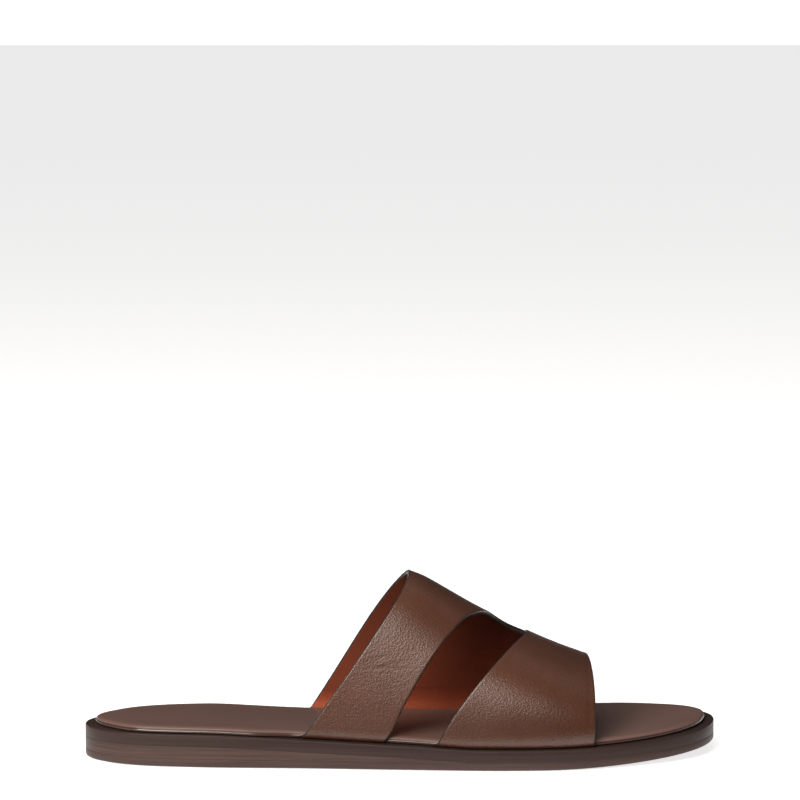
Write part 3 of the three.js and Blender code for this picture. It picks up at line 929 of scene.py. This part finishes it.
def add_camera():
    camera = bpy.data.objects.new("camera", bpy.data.cameras.new("camera"))
    bpy.context.scene.collection.objects.link(camera)
    focal = PIXELS_PER_METRE * CAMERA_DISTANCE
    camera.data.sensor_width = SENSOR_WIDTH
    camera.data.lens = camera.data.sensor_width * focal / PIXELS
    camera.data.clip_end = VIEW_END
    down = CAMERA_ELEVATION - math.atan((TARGET_PIXEL[1] - PIXELS / 2) / focal)
    turn = CAMERA_AZIMUTH + math.atan((TARGET_PIXEL[0] - PIXELS / 2) / focal)
    level_distance = CAMERA_DISTANCE * math.cos(CAMERA_ELEVATION)
    camera.location = (
        level_distance * math.sin(CAMERA_AZIMUTH),
        -level_distance * math.cos(CAMERA_AZIMUTH),
        TARGET_HEIGHT + CAMERA_DISTANCE * math.sin(CAMERA_ELEVATION),
    )
    camera.rotation_euler = (math.pi / 2 - down, 0, turn)
    bpy.context.scene.camera = camera


# Paper floor, and a dark card in front of the shoe that the camera doesn't see and that casts no
# shadow: the leather reflects it. Metres.
PAPER_FIBRE = 300
FLOOR_REACH = 60
FLOOR_HEIGHT = -0.0004
FLOOR_GLOW = 0.75
CARD_LOW = (-1.6, -1.8)
CARD_HIGH = (1.6, -0.075)
CARD_HEIGHT = 0.001

# Softboxes. place, aim and size: metres. power: watts.
WARM = (1, 0.93, 0.87)
WHITE = (1, 1, 1)
LIGHTS = {
    "name": ("front_box", "left_box", "top_box"),
    "place": ((-0.75, -1.45, 1.55), (-1.15, -1.55, 0.8), (0.2, 0.5, 2.0)),
    "aim": ((0, 0, 0.03), (0, 0, 0.03), (0, 0, 0)),
    "size": ((1.8, 0.9), (1.1, 0.5), (2.0, 1.6)),
    "power": (42, 23, 3),
    "color": (WARM, WARM, WHITE),
}

# Light from all round: an even part, and parts that grow along an axis from start to end
AMBIENT = 0.035
WORLD = {
    "axis": ("Z", "Y"),
    "start": (0.15, 0.0),
    "end": (0.85, 0.9),
    "most": (0.07, 0.005),
}
# Strength of the white that the camera sees beyond the floor
BACKGROUND = 1.1


def add_plane(name, low, high, height, material):
    mesh = bpy.data.meshes.new(name)
    corners = [(low[0], low[1], 0), (high[0], low[1], 0), (high[0], high[1], 0), (low[0], high[1], 0)]
    mesh.from_pydata(corners, [], [(0, 1, 2, 3)])
    mesh.materials.append(material)
    plane = bpy.data.objects.new(name, mesh)
    plane.location.z = height
    bpy.context.scene.collection.objects.link(plane)
    return plane


def paper(name, shade, **numbers):
    """Matt grey or white paper with a faint fibre."""
    g = Graph(name)
    fibre = g.bump(g.noise(g.coords.outputs["Object"], PAPER_FIBRE), 0.01)
    return g.finish((shade, shade, shade, 1), 0.9, fibre, **numbers)


def add_floor():
    white = paper("floor_paper", 0.9, Specular_IOR_Level=0.1, Emission_Color=(1, 1, 1, 1),
                  Emission_Strength=FLOOR_GLOW)
    add_plane("floor", (-FLOOR_REACH, -FLOOR_REACH), (FLOOR_REACH, FLOOR_REACH), FLOOR_HEIGHT, white)
    card = add_plane("shade_card", CARD_LOW, CARD_HIGH, CARD_HEIGHT, paper("card_paper", 0.06))
    card.visible_camera = False
    card.visible_shadow = False


def add_light(name, place, aim, size, power, color):
    light = bpy.data.lights.new(name, "AREA")
    light.shape = "RECTANGLE"
    light.size, light.size_y = size
    light.energy = power
    light.color = color
    lamp = bpy.data.objects.new(name, light)
    lamp.location = place
    away = lamp.location - type(lamp.location)(aim)
    lamp.rotation_euler = away.to_track_quat("Z", "Y").to_euler()
    bpy.context.scene.collection.objects.link(lamp)


def add_world():
    """Even white for what the camera sees, and a studio that is darkest in front, at eye level."""
    world = bpy.data.worlds.new("studio")
    bpy.context.scene.world = world
    world.use_nodes = True
    tree = world.node_tree

    def add(kind):
        return tree.nodes.new(kind)

    def span(value, low, high, most):
        node = add("ShaderNodeMapRange")
        tree.links.new(value, node.inputs["Value"])
        for key, number in zip(("From Min", "From Max", "To Min", "To Max"), (low, high, 0, most)):
            node.inputs[key].default_value = number
        return node.outputs["Result"]

    direction = add("ShaderNodeSeparateXYZ")
    tree.links.new(add("ShaderNodeTexCoord").outputs["Generated"], direction.inputs[0])
    total = add("ShaderNodeMath")
    for socket, (axis, start, end, most) in zip(total.inputs, zip(*WORLD.values())):
        tree.links.new(span(direction.outputs[axis], start, end, most), socket)
    unseen = tree.nodes["Background"]
    unseen.inputs["Color"].default_value = (1, 1, 1, 1)
    raised = add("ShaderNodeMath")
    raised.inputs[1].default_value = AMBIENT
    tree.links.new(total.outputs[0], raised.inputs[0])
    tree.links.new(raised.outputs[0], unseen.inputs["Strength"])
    seen = add("ShaderNodeBackground")
    seen.inputs["Color"].default_value = (1, 1, 1, 1)
    seen.inputs["Strength"].default_value = BACKGROUND
    both = add("ShaderNodeMixShader")
    tree.links.new(add("ShaderNodeLightPath").outputs["Is Camera Ray"], both.inputs[0])
    tree.links.new(unseen.outputs[0], both.inputs[1])
    tree.links.new(seen.outputs[0], both.inputs[2])
    tree.links.new(both.outputs[0], tree.nodes["World Output"].inputs[0])


def add_studio():
    bpy.context.scene.view_settings.view_transform = "Standard"
    add_floor()
    add_world()
    for light in zip(*LIGHTS.values()):
        add_light(*light)


add_camera()
build_shoe()
add_studio()
